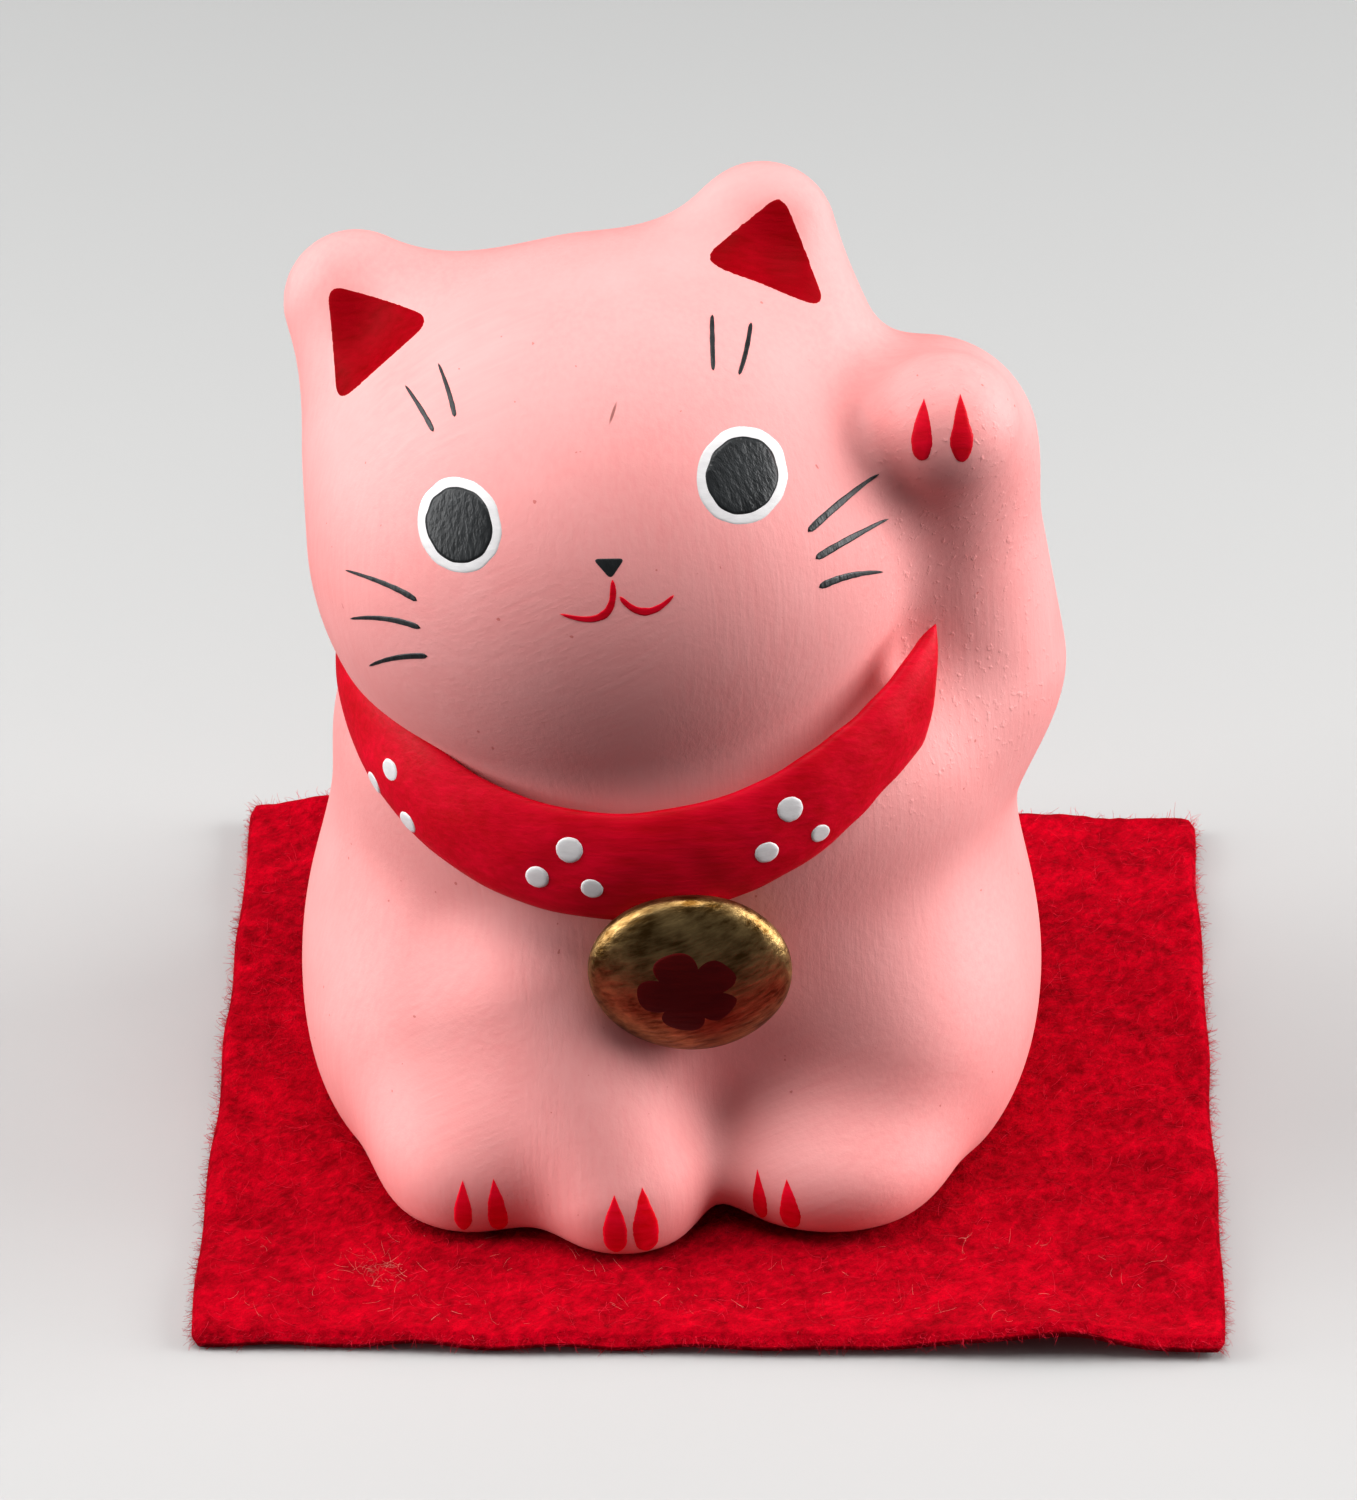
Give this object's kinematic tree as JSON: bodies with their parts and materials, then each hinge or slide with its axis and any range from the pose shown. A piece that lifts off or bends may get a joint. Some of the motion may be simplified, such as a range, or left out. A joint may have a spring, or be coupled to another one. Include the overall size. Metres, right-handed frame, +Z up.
{
  "type": "beckoning cat figurine",
  "caption": "Hollow painted ceramic cat with one paw raised beside its head, a dotted red collar and a gold medallion, standing loose on a square red felt mat.",
  "frame": {"origin": "centre of the felt mat's underside, on the surface that it lies on", "axes": "+Z up; the cat looks along -Y; +X is towards its raised paw, to the right as it is looked at from the front"},
  "size_m": [0.07, 0.07, 0.0699],
  "materials": {
    "pink_body": "matt hand-brushed pink paint",
    "red_paint": "satin hand-brushed red paint",
    "white_paint": "satin white paint",
    "black_paint": "satin black paint",
    "gold_paint": "brushed metallic gold paint",
    "red_felt": "red wool felt"
  },
  "bodies": {
    "mat": {"felt_mat": "red_felt"},
    "figurine": {"ceramic_body": "pink_body", "collar_band": "red_paint", "medallion": "gold_paint", "medallion_blossom": "red_paint", "nose": "black_paint", "inner_ear_left": "red_paint", "eye_white_left": "white_paint", "pupil_left": "black_paint", "mouth_left": "red_paint", "whisker_left_upper": "black_paint", "whisker_left_middle": "black_paint", "whisker_left_lower": "black_paint", "brow_left_outer": "black_paint", "brow_left_inner": "black_paint", "inner_ear_right": "red_paint", "eye_white_right": "white_paint", "pupil_right": "black_paint", "mouth_right": "red_paint", "whisker_right_upper": "black_paint", "whisker_right_middle": "black_paint", "whisker_right_lower": "black_paint", "brow_right_outer": "black_paint", "brow_right_inner": "black_paint", "claw_left_foot_outer": "red_paint", "claw_left_foot_inner": "red_paint", "claw_front_paw_outer": "red_paint", "claw_front_paw_inner": "red_paint", "claw_right_foot_outer": "red_paint", "claw_right_foot_inner": "red_paint", "claw_raised_paw_outer": "red_paint", "claw_raised_paw_inner": "red_paint", "collar_dot_left_upper": "white_paint", "collar_dot_left_outer": "white_paint", "collar_dot_left_lower": "white_paint", "collar_dot_front_upper": "white_paint", "collar_dot_front_left": "white_paint", "collar_dot_front_right": "white_paint", "collar_dot_right_upper": "white_paint", "collar_dot_right_outer": "white_paint", "collar_dot_right_lower": "white_paint"}
  },
  "joints": [
    {"name": "lift_off", "type": "slide", "parent": "mat", "child": "figurine", "axis": [0, 0, 1], "range_m": [0, 0.04]}
  ]
}
